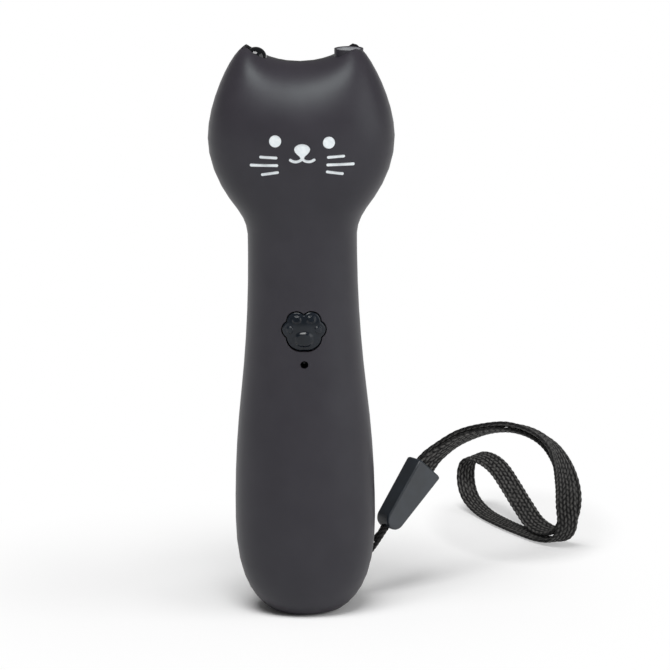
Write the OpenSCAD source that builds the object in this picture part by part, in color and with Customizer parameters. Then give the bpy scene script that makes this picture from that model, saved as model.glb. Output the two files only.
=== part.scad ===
// Cat-shaped laser pointer: a two-half moulded case with a paw button, a laser and a lamp in the ears,
// a rechargeable cell and a braided wrist strap. Millimetres, z up, and the face looks along -y.

/* [Body] */
// Height of the handle, from the base up to the chin
chin_z = 86; // [84:0.5:92]
// Height of the head, from the chin up to the ear tips
head_h = 43.3; // [42.5:0.1:45]
// Depth of the dip between the ears
dip = 4.3; // [3.8:0.05:4.7]
// Width between the two ear tips
tip_w = 23.8; // [23:0.1:25]
// Width of the head at the cheeks
head_w = 41.8; // [41:0.1:44]
// Depth of the head
head_d = 27; // [26.6:0.1:29]
// Width of the neck
neck_w = 24.5; // [24.2:0.1:26.4]
// Depth of the neck
neck_d = 22.6; // [22.4:0.1:24.4]
// Width of the belly
belly_w = 31.6; // [31:0.1:34]
// Depth of the belly
belly_d = 27.2; // [26.8:0.1:29]
// Width of the flat base
base_w = 15; // [14.2:0.1:16]
// Depth of the flat base
base_d = 16; // [15:0.1:17]
// Wall thickness of both halves
wall = 1.8; // [1.6:0.05:1.9]

/* [Face] */
// Height of the eyes above the widest part of the head
eye_up = 1.1; // [0:0.1:2]
// Distance between the eyes
eye_gap = 11.9; // [11:0.1:13]
// How far the left eye sits above the middle of both, and the right one below it
eye_skew = 0.22; // [0:0.02:0.3]
// Diameter of an eye
eye_d = 2.7; // [2.2:0.1:3]
// Width of the mouth and whisker strokes
stroke = 0.66; // [0.54:0.02:0.8]
// Depth of the face recesses
face_depth = 0.5; // [0.46:0.02:0.6]
// Thickness of the white enamel in them
enamel_t = 0.36; // [0.28:0.01:0.42]

/* [Button] */
// Height of the paw button
paw_z = 66.35; // [65.5:0.1:67]
// Radius of the main pad lobes
pad_r = 3.15; // [3:0.05:3.3]
// Radius of the two upper toes
toe_r = 2.1; // [1.95:0.05:2.2]
// Radius of the two outer toes
side_r = 1.9; // [1.75:0.05:2]
// Gap between the button and the case
paw_gap = 0.25; // [0.2:0.01:0.32]
// How far the button's crown stands out of the case
crown = 0.6; // [0.4:0.05:0.8]
// Length of the press
travel = 0.6; // [0.4:0.05:0.7]
// Diameter of the indicator hole
hole_d = 1.8; // [1.4:0.1:2.2]

/* [Ears] */
// Diameter of the round laser port on the right ear
port_d = 6.5; // [6.3:0.1:6.8]
// How far the port's flat top lies under the ear tips
port_down = 1.2; // [0.9:0.05:1.5]
// Diameter of the lamp in the left ear
lamp_d = 5; // [4.8:0.1:5.2]
// How far the top of the lamp lies under the ear tips
lamp_down = 0.6; // [0.3:0.1:0.9]
// Clearance around the port, the laser and the lamp
ear_gap = 0.06; // [0.04:0.01:0.12]

/* [Electronics] */
// Diameter of the cell
cell_d = 10; // [9.6:0.1:10.4]
// Length of the cell
cell_l = 44; // [42:0.5:46]
// Width of the main board
board_w = 14; // [13:0.1:14.4]
// Length of the main board
board_l = 38; // [37:0.5:39]
// Thickness of the main board
board_t = 1.2; // [1:0.05:1.3]

/* [Strap] */
// Width of the braided tape
tape_w = 5; // [4.4:0.1:5.2]
// Thickness of the braided tape
tape_t = 1.1; // [1:0.05:1.2]
// Diameter of the tie cord
cord_d = 1.2; // [1:0.05:1.3]
// Length of the strap clip
clip_l = 16.8; // [16:0.1:17.6]
// Width of the strap clip
clip_w = 7.6; // [7.2:0.1:8]
// Thickness of the strap clip
clip_t = 5.1; // [4.8:0.05:5.5]

/* [Hidden] */
$fn = 48;
over = 0.5;
far = 40;

// Heights along the body and the exponents of its rounded sections.
belly_z = 23;
neck_z = chin_z - 3;
cheek_z = chin_z + 22.5;
tip_z = chin_z + head_h;
eye_z = cheek_z + eye_up;
chin_joint = 0.31;
handle_joint = 0.45;
base_n = 2.65;
handle_n = 2.1;
head_n = 2.6;
top_n = 2.4;
ear_square = 2;
ear_lean = 0.855;
ear_curve = 0.64;
ridge_y = 1.5;
base_edge = 0.5;
floor_t = 2;
roof_t = 2.4;
ear_fill = 6.5;
cols = 20;
chord = 0.6;
low_z = concat([0.5, 1.5, 3.1, 5.2, 8, 11.5, 16, 21],
    [for (k = [1:2:19]) belly_z + (neck_z - belly_z) * k / 19.5],
    [for (up = [-2, 0.5, 2.5, 4.5, 6.5, 9, 12, 15.5, 19]) chin_z + up], [cheek_z]);
top_t = [0.15, 0.3, 0.44, 0.57, 0.68, 0.78, 0.86, 0.92, 0.965, 0.99, 1];

// Stack from the button to the board, along y.
board_y = -4.3;
switch_w = 6;
switch_h = 2;
plunger_d = 3.4;
plunger_out = 0.8;
plunger_in = 0.6;
plunger_fit = 0.05;
stem_h = 0.35;
flange_t = 0.7;
flange_w = 0.9;
collar_w = 1;
rest_gap = 0.05;
switch_y = board_y - switch_h;
plunger_y = switch_y - plunger_out;
flange_y = plunger_y - stem_h - flange_t;
collar_y = flange_y - rest_gap;
dome_r = 14;
bean_h = 0.35;
toe_x = 1.65;
toe_up = 2.3;
side_x = 2.95;
side_up = 0.4;
pad_x = 0.7;
pad_down = 1.25;

// Main board, its posts and what it carries.
board_z = paw_z - 21.35;
post_r = 1.3;
pin_r = 0.7;
pin_fit = 0.05;
post_x = 5.2;
post_in = 3.5;
led_z = paw_z - 7.55;
led_r = 1.5;
led_l = 4.1;
chip_z = board_z + 30;
parts_z = board_z + 7;

// Cell and charge board.
cell_y = 2.4;
cell_z = 25;
tab_t = 0.3;
pad_w = 5;
pad_l = 16;
pad_z = cell_z + 24;
cradle_z = [cell_z + 8, cell_z + cell_l - 8];
cradle_t = 2;
charge_z = 17;
charge_t = 1;
charge_w = 14;
charge_back = 9.5;
socket_w = 7.5;
socket_h = 2.6;
socket_l = 6.4;
socket_back = 12.9;
slot_gap = 0.2;

// Emitters.
ear_y = 0.8;
laser_x = 10.8;
port_l = 6;
port_z = tip_z - port_down;
cap_h = 1.6;
cap_r = 2.72;
barrel_r = 2.7;
barrel_l = 18.5;
barrel_top = port_z - cap_h;
barrel_z = barrel_top - barrel_l;
bore_r = 1.9;
lens_r = 2.15;
lens_z = barrel_top - 4.5;
window_r = 1.9;
window_t = 0.6;
window_in = 0.2;
laser_board_l = 9;
laser_board_w = 5;
laser_board_z = barrel_z - laser_board_l - 1.5;
cradle_top = barrel_z + 5.5;
lamp_x = -9.95;
lamp_l = 9.2;
lamp_z = tip_z - lamp_down;
lamp_foot = lamp_z - lamp_l;
lamp_board_t = 1;
lamp_board_r = 3.6;
shelf_t = 1.2;
leg_x = 1.27;
leg_r = 0.3;

// Screws that close the case, given by their heights.
screw_z = [9.5, chin_z + 4];
screw_r = 1;
screw_head_r = 2;
screw_head_h = 1.4;
screw_seat = 4.5;
screw_in = 7;
boss_r = 2.7;

// Strap bar at the rear right of the base, and the clip.
lug_z = 9;
lug_turn = 40;
lug_ring = 2.6;
lug_gap = 0.2;
clip_foot = [18.3, 8.6, 16.2];
clip_axis = [0.55, 0.38, 0.735];
clip_side = [0.6, 0.4, -0.69];
clip_round = 0.6;
clip_narrow = 0.6;
slot_in = 3;
cord_in = 2.5;
slot_fit = 0.12;
strand_fit = 0.06;
strand_open = 0.9;

// Route of the doubled tape from the clip over the arch, with the direction of its width at each point.
arch = [[31, 17.4, 31.6], [35.4, 20.5, 33.8], [40.5, 24, 34.7], [45.7, 28, 34.5], [51, 32, 32.8],
    [55.6, 36, 29.6], [59.3, 40.5, 24.5], [61.7, 44.5, 18], [62.6, 47.5, 11.4]];
arch_side = [[0.09, 0.58, -0.81], [-0.2, 0.64, -0.74], [-0.47, 0.69, -0.55], [-0.61, 0.74, -0.28],
    [-0.58, 0.8, 0.14], [-0.3, 0.8, 0.52], [0.39, 0.63, 0.67], [0.88, 0.29, 0.38], [0.99, 0.01, 0.14]];
// Route of the single tape around the open loop on the floor.
loop = [[62.3, 49, 5.2], [60.5, 51.8, 1.6], [57, 55.8, 0.68], [52.6, 63.2, 0.62], [47.9, 72.5, 0.62],
    [44.1, 81.8, 0.8], [41.3, 87.6, 2.9], [40.2, 90.6, 6.4], [40.5, 91, 10.4], [42.2, 89.4, 12.8],
    [45, 84.6, 13.3], [47.7, 79.6, 12.1], [50.3, 73.8, 9.1], [52.9, 67.6, 5.8], [55.7, 61.2, 3.2],
    [58.7, 55.4, 3.2], [61.1, 51.4, 6.2]];
loop_side = [[1, 0.15, 0], [0.97, 0.25, 0], [0.92, 0.4, 0], [0.88, 0.47, 0], [0.88, 0.47, 0],
    [0.88, 0.47, 0], [0.88, 0.47, 0], [0.88, 0.47, 0.05], [0.88, 0.45, 0.15], [0.86, 0.4, 0.25],
    [0.83, 0.33, 0.36], [0.81, 0.26, 0.45], [0.8, 0.22, 0.5], [0.81, 0.22, 0.48], [0.85, 0.24, 0.4],
    [0.92, 0.26, 0.2], [0.98, 0.2, 0.05]];

// Small helpers.
function mix(a, b, t) = a + (b - a) * t;
function unit(v) = v / norm(v);
function round_pow(v, e) = sign(v) * pow(abs(v), e);
// Two parabolas that meet at joint j, level at both ends: the S of a moulded shoulder.
function shoulder(t, j) = t <= 0 ? 0 : t >= 1 ? 1 : t < j ? t * t / j : 1 - (1 - t) * (1 - t) / (1 - j);
// A rounded corner from 1 down to 0.
function corner(t, n) = pow(max(0, 1 - pow(abs(t), n)), 1 / n);

// Size of the body at a height, given its size at the base, the belly, the neck and the head.
function foot_reach(foot, belly) = belly_z / pow(1 - pow(foot / belly, base_n), 1 / base_n);
function column(z, foot, belly, neck, head) =
    z < belly_z ? belly * corner((belly_z - z) / foot_reach(foot, belly), base_n)
    : z < neck_z ? mix(belly, neck, shoulder((z - belly_z) / (neck_z - belly_z), handle_joint))
    : mix(neck, head, shoulder((z - chin_z) / (cheek_z - chin_z), chin_joint));
function ear_side(t) = ear_lean * pow(t, 1.8) + (1 - ear_lean) * pow(t, 12);
function half_w(z) = z <= cheek_z ? column(z, base_w, belly_w, neck_w, head_w) / 2
    : (head_w - (head_w - tip_w) * ear_side(min(1, (z - cheek_z) / (tip_z - cheek_z)))) / 2;
function half_d(z) = column(min(z, cheek_z), base_d, belly_d, neck_d, head_d) / 2;
function row_n(z) = mix(handle_n, head_n, shoulder((z - chin_z) / (cheek_z - chin_z), 0.5));

// Rise of the roof from its middle to the ears, and its curve to the front, squarer at the ears.
function ear_rise(u) = ear_curve * u * u + (1 - ear_curve) * pow(u, 4);
function roof_n(u) = top_n + ear_square * u * u;

// Front surface of the body at x and z, its slopes, and its outward direction.
function skin_y(x, z) = z <= cheek_z ? -half_d(z) * corner(x / half_w(z), row_n(z))
    : let (u = x / half_w(z), t = (z - cheek_z) / (tip_z - dip - cheek_z + dip * ear_rise(u)))
        ridge_y * shoulder(t, 0.5) - head_d / 2 * corner(t, roof_n(u)) * corner(u, head_n);
function slope_x(x, z) = (skin_y(x + 0.1, z) - skin_y(x - 0.1, z)) / 0.2;
function slope_z(x, z) = (skin_y(x, z + 0.1) - skin_y(x, z - 0.1)) / 0.2;
function skin_out(x, z) = unit([slope_x(x, z), -1, slope_z(x, z)]);

// One row of a half shell: middle height, edge height, half width, half depth, offset in y, exponent,
// and how far up the roof it lies, from 0 at the cheeks to 1 at the crest.
function low_row(z) = [z, z, half_w(z), half_d(z), 0, row_n(z), 0];
function low_row_in(z) =
    let (h = floor_t + z * (cheek_z - floor_t) / cheek_z, g = max(0, h - base_edge))
    [h, h, half_w(g) - wall, half_d(g) - wall, 0, row_n(h), 0];
function top_row(t) =
    let (edge = cheek_z + (tip_z - cheek_z) * t)
    [cheek_z + (tip_z - dip - cheek_z) * t, edge, half_w(edge), head_d / 2,
        ridge_y * shoulder(t, 0.5), head_n, t];
function top_row_in(t) =
    let (edge = cheek_z + (tip_z - ear_fill - cheek_z) * t)
    [cheek_z + (tip_z - dip - roof_t - cheek_z) * t, edge, half_w(edge) - wall, head_d / 2 - wall,
        ridge_y * shoulder(t, 0.5), head_n, t];
function flat_row(r, k) = [r[0], r[1], r[2] * k, 0, r[4], r[5], r[6]];
function inset_row(r, e) = [r[0], r[1], r[2] - e, r[3] - e, r[4], r[5], r[6]];
outer_foot = inset_row(low_row(0), base_edge);
inner_foot = low_row_in(0);
outer_rows = concat([flat_row(outer_foot, chord), outer_foot], [for (z = low_z) low_row(z)],
    [for (t = top_t) top_row(t)]);
inner_rows = concat([flat_row(inner_foot, chord), inner_foot], [for (z = low_z) low_row_in(z)],
    [for (t = top_t) top_row_in(t)]);
function row_points(r, side) = [for (j = [0:cols])
    let (a = 180 * j / cols, u = -round_pow(cos(a), 2 / r[5]))
    [r[2] * u, r[4] + side * r[3] * corner(r[6], roof_n(u)) * round_pow(max(0, sin(a)), 2 / r[5]),
        mix(r[0], r[1], ear_rise(u))]];

// A closed half of the case, side -1 at the front and 1 at the rear: two skins and the rim between them.
module half_shell(side) {
    rows = len(outer_rows);
    step = cols + 1;
    inner = rows * step;
    points = [for (r = concat(outer_rows, inner_rows)) each row_points(r, side)];
    skin = [for (i = [0:rows - 2], j = [0:cols - 1])
        let (a = i * step + j, b = a + 1, c = a + step, d = c + 1)
        each j < cols / 2 ? [[a, c, d], [a, d, b]] : [[a, c, b], [c, d, b]]];
    lining = [for (f = skin) [f[2] + inner, f[1] + inner, f[0] + inner]];
    top = (rows - 1) * step;
    sides = [for (i = [0:rows - 2], k = [0, cols])
        let (low = i * step + k) k == 0 ? [low + step, low] : [low, low + step]];
    ends = [for (j = [0:cols - 1]) each [[top + j + 1, top + j], [j, j + 1]]];
    rim = [for (q = concat(sides, ends))
        each [[q[0], q[1], q[1] + inner], [q[0], q[1] + inner, q[0] + inner]]];
    faces = concat(skin, lining, rim);
    polyhedron(points, side < 0 ? faces : [for (f = faces) [f[2], f[1], f[0]]], 10);
}

// Puts a flat outline between two depths, drawn as seen from the front.
module along_y(y0, y1) {
    translate([0, y1, 0]) rotate([90, 0, 0]) linear_extrude(y1 - y0) children();
}

module rod_y(x, z, r, y0, y1) {
    translate([x, y1, z]) rotate([90, 0, 0]) cylinder(r = r, h = y1 - y0);
}

module rod_z(x, y, r, z0, z1) {
    translate([x, y, z0]) cylinder(r = r, h = z1 - z0);
}

module box(x0, x1, y0, y1, z0, z1) {
    translate([x0, y0, z0]) cube([x1 - x0, y1 - y0, z1 - z0]);
}

// Sets its children on the front surface, with their z outwards and their x to the right.
module on_skin(x, z) {
    out = skin_out(x, z);
    right = unit([1, slope_x(x, z), 0]);
    up = cross(out, right);
    at = [x, skin_y(x, z), z];
    multmatrix([for (k = [0:2]) [right[k], up[k], out[k], at[k]]]) children();
}

// A round-ended stroke between two points of the face, drawn flat.
module stroke_2d(length) {
    square([length, stroke], center = true);
    for (s = [-1, 1])
        translate([s * length / 2, 0]) circle(d = stroke);
}

// The nose: a low dome that tapers down to the mouth.
module nose_2d() {
    taper = [[1.6, -0.35], [1.12, -0.92], [0.6, -1.36], [0.4, -1.8]];
    polygon(concat([for (a = [0:12:180]) [1.78 * cos(a), 0.2 + 1.27 * sin(a)]],
        [for (p = taper) [-p[0], p[1]]], [for (i = [3:-1:0]) taper[i]]));
}

// The mouth: two hanging arcs that meet under the nose.
module mouth_2d() {
    arc_r = 1.9;
    arc_x = 1.45;
    arc_up = 1.22;
    ends = [atan2(-arc_up, -arc_x), -52];
    for (s = [0, 1])
        mirror([s, 0]) translate([arc_x, arc_up]) {
            intersection() {
                difference() {
                    circle(r = arc_r + stroke / 2);
                    circle(r = arc_r - stroke / 2);
                }
                polygon([[0, 0], for (a = [ends[0], -115, -80, ends[1]]) 3 * [cos(a), sin(a)]]);
            }
            for (a = ends)
                translate(arc_r * [cos(a), sin(a)]) circle(d = stroke);
        }
}

// Every mark of the face, filled from a depth under the surface upwards.
module face_marks(low, high) {
    for (s = [-1, 1]) {
        on_skin(s * eye_gap / 2, eye_z - s * eye_skew)
            translate([0, 0, low]) cylinder(d = eye_d, h = high - low);
        for (w = [[7.5, -3.45, 3.4, 3], [8.5, -5.25, 5.7, 0], [7.2, -7.1, 3.4, -9]])
            on_skin(s * w[0], eye_z + w[1])
                rotate(s * w[3]) translate([0, 0, low]) linear_extrude(high - low) stroke_2d(w[2]);
    }
    on_skin(0, eye_z - 1.9)
        translate([0, 0, low]) linear_extrude(high - low) nose_2d();
    on_skin(0, eye_z - 3.76)
        translate([0, 0, low]) linear_extrude(high - low) mouth_2d();
}

// Outline of the paw, with its lobes grown by a margin.
module paw_2d(grow) {
    translate([0, paw_z])
        for (s = [-1, 1]) {
            translate([s * toe_x, toe_up]) circle(r = toe_r + grow);
            translate([s * side_x, side_up]) circle(r = side_r + grow);
            translate([s * pad_x, -pad_down]) circle(r = pad_r + grow);
        }
}

// Bore for the lamp, through the left ear from the hollow upwards.
module lamp_bore() {
    rod_z(lamp_x, ear_y, lamp_d / 2 + ear_gap, lamp_foot + 1 + over, far * 4);
}

module front_shell() {
    reach = side_x + side_r + paw_gap + collar_w;
    posts = [board_z + post_in, board_z + board_l - post_in];
    color("#3a3a3e")
        difference() {
            union() {
                half_shell(-1);
                along_y(skin_y(reach, paw_z) + over / 2, collar_y) paw_2d(paw_gap + collar_w);
                for (z = screw_z)
                    rod_y(0, z, boss_r, skin_y(boss_r, z - boss_r) + over, 0);
                for (s = [-1, 1], z = posts) {
                    rod_y(s * post_x, z, post_r, skin_y(post_x + post_r, z) + over, board_y);
                    rod_y(s * post_x, z, pin_r, board_y - over, board_y + board_t + 0.3);
                }
                rod_z(laser_x, ear_y, port_d / 2, port_z - port_l, port_z);
                box(laser_x - 2.2, laser_x + 2.2, skin_y(laser_x + 2.2, cradle_top) + over, ear_y,
                    cradle_top - 2.5, cradle_top);
                box(lamp_x - 2.5, lamp_x + 2.5, skin_y(abs(lamp_x) + 2.5, lamp_foot) + over, ear_y - 1,
                    lamp_foot - lamp_board_t - shelf_t, lamp_foot - lamp_board_t);
            }
            along_y(-far, collar_y + over) paw_2d(paw_gap);
            rod_y(0, led_z, hole_d / 2, -far, skin_y(0, led_z) + wall + over);
            for (z = screw_z)
                rod_y(0, z, screw_r, -screw_in - over, over);
            rod_z(laser_x, ear_y, barrel_r, barrel_z, cradle_top + over);
            rod_z(laser_x, ear_y, barrel_r + ear_gap, cradle_top + over, far * 4);
            lamp_bore();
            face_marks(-face_depth, over);
        }
}

// Where the strap bar sits on the base, and the outward direction there.
lug_w = half_w(lug_z);
lug_d = half_d(lug_z);
lug_at = [lug_w * pow(cos(lug_turn), 2 / handle_n), lug_d * pow(sin(lug_turn), 2 / handle_n), lug_z];
lug_aim = atan2(pow(lug_at[1] / lug_d, handle_n - 1) / lug_d, pow(lug_at[0] / lug_w, handle_n - 1) / lug_w);
lug_out = [cos(lug_aim), sin(lug_aim), 0];
lug_back = [-sin(lug_aim), cos(lug_aim), 0];

module rear_shell() {
    stop_z = cell_z - tab_t;
    slot_z = charge_z + charge_t + socket_h / 2;
    ledge_z = charge_z - 1.8;
    color("#2e2e32")
        difference() {
            union() {
                half_shell(1);
                for (z = screw_z)
                    rod_y(0, z, boss_r + 0.5, 0, -skin_y(boss_r + 0.5, z - boss_r - 0.5) - over);
                for (z = cradle_z)
                    box(-4.6, 4.6, cell_y + 2.2, -skin_y(4.6, z) - over, z, z + cradle_t);
                box(-3, 3, cell_y - 1.5, -skin_y(3, stop_z - 2) - over, stop_z - 2, stop_z);
                for (s = [-1, 1])
                    box(s * 6.1 - 0.9, s * 6.1 + 0.9, 2.5, -skin_y(7, ledge_z) - over, ledge_z, charge_z);
                translate(lug_at) rotate(lug_aim)
                    box(-4.5, -1.5, -3.5, 3.5, -1.6, 1.6);
            }
            rod_z(0, cell_y, cell_d / 2, cell_z - tab_t, cell_z + cell_l);
            for (z = screw_z) {
                rod_y(0, z, screw_r + 0.15, -over, screw_seat + over);
                rod_y(0, z, screw_head_r + 0.2, screw_seat, far);
            }
            translate([0, 0, slot_z]) along_y(socket_back - socket_l, far) socket_2d(slot_gap);
            translate(lug_at)
                rotate_extrude() translate([lug_ring, 0]) circle(r = cord_d / 2 + lug_gap);
            rod_z(laser_x, ear_y, port_d / 2 + ear_gap, port_z - port_l - over, far * 4);
            lamp_bore();
        }
}

module face_enamel() {
    color("#ebf0f3")
        face_marks(-face_depth, -face_depth + enamel_t);
}

// Two pan-head screws with cross recesses, driven from the rear.
module case_screws() {
    color("#8f9296")
        for (z = screw_z)
            difference() {
                union() {
                    rod_y(0, z, screw_r, -screw_in, screw_seat);
                    rod_y(0, z, screw_head_r, screw_seat, screw_seat + screw_head_h);
                }
                for (a = [0, 90])
                    translate([0, screw_seat + screw_head_h, z]) rotate([0, a, 0])
                        cube([2.2, 1.4, 0.5], center = true);
            }
}

// A low round pad of radius a, standing out of the button's dome at x and z from its middle.
module bean(centre, x, z, a) {
    r = (a * a + bean_h * bean_h) / (2 * bean_h);
    translate(centre + [x, r - bean_h - sqrt(dome_r * dome_r - x * x - z * z), z]) sphere(r = r);
}

// Gloss paw with a domed face, four toe beans, a raised pad, a hidden flange and a stem on the switch.
module paw_button() {
    face = skin_y(0, paw_z) - crown;
    centre = [0, face + dome_r, paw_z];
    color("#1c1e20") {
        intersection() {
            along_y(face - over, flange_y + over) paw_2d(0);
            translate(centre) sphere(r = dome_r, $fn = 96);
        }
        intersection() {
            along_y(face - crown, flange_y + flange_t) paw_2d(0);
            union() {
                for (s = [-1, 1]) {
                    bean(centre, s * 1.65, 2.7, 0.95);
                    bean(centre, s * 3.1, 0.4, 0.85);
                    bean(centre, s * 0.95, -2.15, 1.15);
                }
                bean(centre, 0, -1.35, 1.4);
            }
        }
        along_y(flange_y, flange_y + flange_t) paw_2d(flange_w);
        rod_y(0, paw_z, plunger_d / 2 - 0.2, flange_y, plunger_y);
    }
}

module switch_body() {
    half = switch_w / 2;
    floor_y = switch_y + plunger_in + travel + 0.1;
    color("#26282a")
        difference() {
            box(-half, half, switch_y, board_y, paw_z - half, paw_z + half);
            rod_y(0, paw_z, plunger_d / 2 + plunger_fit, switch_y - over, floor_y);
        }
}

module switch_plunger() {
    color("#c8c4b8")
        rod_y(0, paw_z, plunger_d / 2, plunger_y, switch_y + plunger_in);
}

module main_board() {
    color("#1f6b3a")
        difference() {
            box(-board_w / 2, board_w / 2, board_y, board_y + board_t, board_z, board_z + board_l);
            for (s = [-1, 1], z = [board_z + post_in, board_z + board_l - post_in])
                rod_y(s * post_x, z, pin_r + pin_fit, board_y - over, board_y + board_t + over);
        }
}

// Eight-legged controller on the front of the board.
module control_chip() {
    color("#202124") {
        box(-2, 2, board_y - 1.5, board_y - 0.15, chip_z - 2.4, chip_z + 2.4);
        for (s = [-1, 1], z = [chip_z - 1.5 * 1.27:1.27:chip_z + 1.6 * 1.27])
            box(s * 2.4 - 0.6, s * 2.4 + 0.6, board_y - 0.4, board_y, z - 0.2, z + 0.2);
    }
}

// Resistors and capacitors in a row, and a coil beside the chip.
module board_parts() {
    color("#b09a72") {
        for (k = [-2:2])
            box(k * 1.9 - 0.45, k * 1.9 + 0.45, board_y - 0.6, board_y, parts_z, parts_z + 1.8);
        for (s = [-1, 1])
            rod_y(s * 5.1, chip_z - 0.5, 1.2, board_y - 1.8, board_y);
    }
}

module indicator_led() {
    color("#b8e0c0") {
        rod_y(0, led_z, led_r + 0.4, board_y - 1, board_y);
        rod_y(0, led_z, led_r, board_y - led_l, board_y - 0.5);
        translate([0, board_y - led_l, led_z]) sphere(r = led_r);
    }
}

module charge_board() {
    color("#1f6b3a")
        box(-charge_w / 2, charge_w / 2, 1.5, charge_back, charge_z, charge_z + charge_t);
}

// Outline of the small charge socket: flat top, narrowed below.
module socket_2d(grow) {
    w = socket_w / 2 + grow;
    h = socket_h / 2 + grow;
    polygon([[-w, h], [w, h], [w, -h * 0.2], [w - 1, -h], [-w + 1, -h], [-w, -h * 0.2]]);
}

module charge_socket() {
    color("#b9bcc0")
        translate([0, 0, charge_z + charge_t + socket_h / 2])
            difference() {
                along_y(socket_back - socket_l, socket_back) socket_2d(0);
                along_y(socket_back - socket_l + 0.8, socket_back + over) socket_2d(-0.3);
            }
}

module socket_tongue() {
    color("#1d1d1f")
        translate([0, 0, charge_z + charge_t + socket_h / 2])
            box(-2.4, 2.4, socket_back - socket_l + 0.8, socket_back - 1, 0.1, 0.8);
}

module charger_chip() {
    color("#202124")
        box(-1.6, 1.6, 2.2, 5.2, charge_z + charge_t, charge_z + charge_t + 1.2);
}

module battery_cell() {
    color("#3f6fa8") {
        rod_z(0, cell_y, cell_d / 2, cell_z, cell_z + cell_l - 0.8);
        rod_z(0, cell_y, cell_d / 2 - 2.4, cell_z, cell_z + cell_l);
    }
}

module battery_tabs() {
    color("#b4b2aa") {
        box(-cell_d / 2 - 1.5, 2, cell_y - 1.5, cell_y + 1.5, cell_z - tab_t, cell_z);
        box(-2, 2.2, cell_y - 1.5, cell_y + 1.5, cell_z + cell_l, cell_z + cell_l + tab_t);
    }
}

// Foam pad between the board and the cell.
module battery_pad() {
    color("#4a4a4a")
        difference() {
            box(-pad_w / 2, pad_w / 2, board_y + board_t, cell_y - cell_d / 2 + 0.6, pad_z, pad_z + pad_l);
            rod_z(0, cell_y, cell_d / 2, cell_z, cell_z + cell_l);
        }
}

// Points of a smooth line through a route, with more of them between each two.
function spline_at(p, i, t) =
    let (n = len(p) - 1, a = p[i], b = p[i + 1],
        da = i == 0 ? b - a : (b - p[i - 1]) / 2, db = i == n - 1 ? b - a : (p[i + 2] - a) / 2)
    a * (1 + t * t * (2 * t - 3)) + b * (t * t * (3 - 2 * t))
        + da * (t * (1 - t) * (1 - t)) + db * (t * t * (t - 1));
function spline(p, parts) =
    concat([for (i = [0:len(p) - 2], k = [0:parts - 1]) spline_at(p, i, k / parts)], [p[len(p) - 1]]);
function ahead(p, i) = unit(p[min(i + 1, len(p) - 1)] - p[max(i - 1, 0)]);
function square_to(side, aim) = unit(side - aim * (side * aim));

// Joins rings of equal length into one closed tube.
module tube(rings) {
    n = len(rings[0]);
    last = len(rings) - 1;
    walls = [for (i = [0:last - 1], j = [0:n - 1])
        let (a = i * n + j, b = i * n + (j + 1) % n) each [[a, b, b + n], [a, b + n, a + n]]];
    caps = [for (j = [1:n - 2]) each [[0, j + 1, j], [last * n, last * n + j, last * n + j + 1]]];
    polyhedron([for (r = rings) each r], [for (f = concat(walls, caps)) [f[2], f[1], f[0]]], 10);
}

// A round wire of diameter d along a route, cut square to the route at both ends.
module wire(route, d) {
    line = spline(route, 2);
    last = len(line) - 1;
    tube([for (i = [0:last])
        let (aim = i == 0 ? ahead(route, 0) : i == last ? ahead(route, len(route) - 1) : ahead(line, i),
            u = square_to(abs(aim[0]) < 0.8 ? [1, 0, 0] : [0, 1, 0], aim), v = cross(aim, u))
        [for (k = [0:7]) line[i] + (u * cos(45 * k + 22.5) + v * sin(45 * k + 22.5)) * d / 2]]);
}

// A lead that leaves its start and meets its end straight, each along its own way out.
function lead(from, out, to, back) = [from, from + out, mix(from + out, to + back, 0.5), to + back, to];
up_out = [0, 0, 2];
rear_out = [0, 1.6, 0];

// One lead from the top of the cell and one from its foot, both to the back of the board.
module battery_leads() {
    back = board_y + board_t;
    edge = -cell_d / 2 - 0.95;
    top = [1.2, cell_y, cell_z + cell_l + tab_t];
    color("#9c2a22") {
        wire(lead(top, up_out, [4, back, chip_z + 2.2], rear_out), 1);
        wire(lead([edge, cell_y, cell_z], up_out, [edge + 0.7, back, parts_z + 3.4], rear_out), 1);
    }
}

// Lead from the charge board, round the side of the cell to the back of the main board.
module charge_leads() {
    foot = [4.6, 3, charge_z + charge_t];
    end = [board_w / 2 - 2.4, board_y + board_t, board_z + 1.6];
    beside = cell_d / 2 + 1.6;
    color("#c9a227")
        wire([foot, foot + up_out, [beside, 1, cell_z + 2], [beside, -0.2, cell_z + 13], end + rear_out, end], 1);
}

// Bezel in the port, with a seat for the window and an opening for the beam.
module laser_cap() {
    seat = port_z - window_in - window_t;
    color("#2b2b2e")
        difference() {
            rod_z(laser_x, ear_y, cap_r, barrel_top, port_z - window_in / 2);
            rod_z(laser_x, ear_y, 1.4, barrel_top - over, port_z + over);
            rod_z(laser_x, ear_y, window_r, seat, port_z + over);
        }
}

module laser_window() {
    color("#9a9ca0")
        rod_z(laser_x, ear_y, window_r, port_z - window_in - window_t, port_z - window_in);
}

module laser_barrel() {
    color("#b8963e")
        difference() {
            rod_z(laser_x, ear_y, barrel_r, barrel_z, barrel_top);
            rod_z(laser_x, ear_y, 1.4, barrel_z - over, far * 4);
            rod_z(laser_x, ear_y, bore_r, barrel_z + 2.5, far * 4);
            rod_z(laser_x, ear_y, lens_r, lens_z, far * 4);
        }
}

// Plano-convex lens on the step of the barrel.
module laser_lens() {
    color("#cfe3ea") {
        rod_z(laser_x, ear_y, lens_r, lens_z, lens_z + 1);
        intersection() {
            translate([laser_x, ear_y, lens_z - 1.2]) sphere(r = 2.6);
            rod_z(laser_x, ear_y, 1.3, lens_z, lens_z + 3);
        }
    }
}

module laser_nut() {
    color("#a88632")
        difference() {
            rod_z(laser_x, ear_y, lens_r, lens_z + 1, lens_z + 3.4);
            rod_z(laser_x, ear_y, 1.45, lens_z, lens_z + 4);
            box(laser_x - 3, laser_x + 3, ear_y - 0.35, ear_y + 0.35, lens_z + 2.8, lens_z + 4);
        }
}

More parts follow.
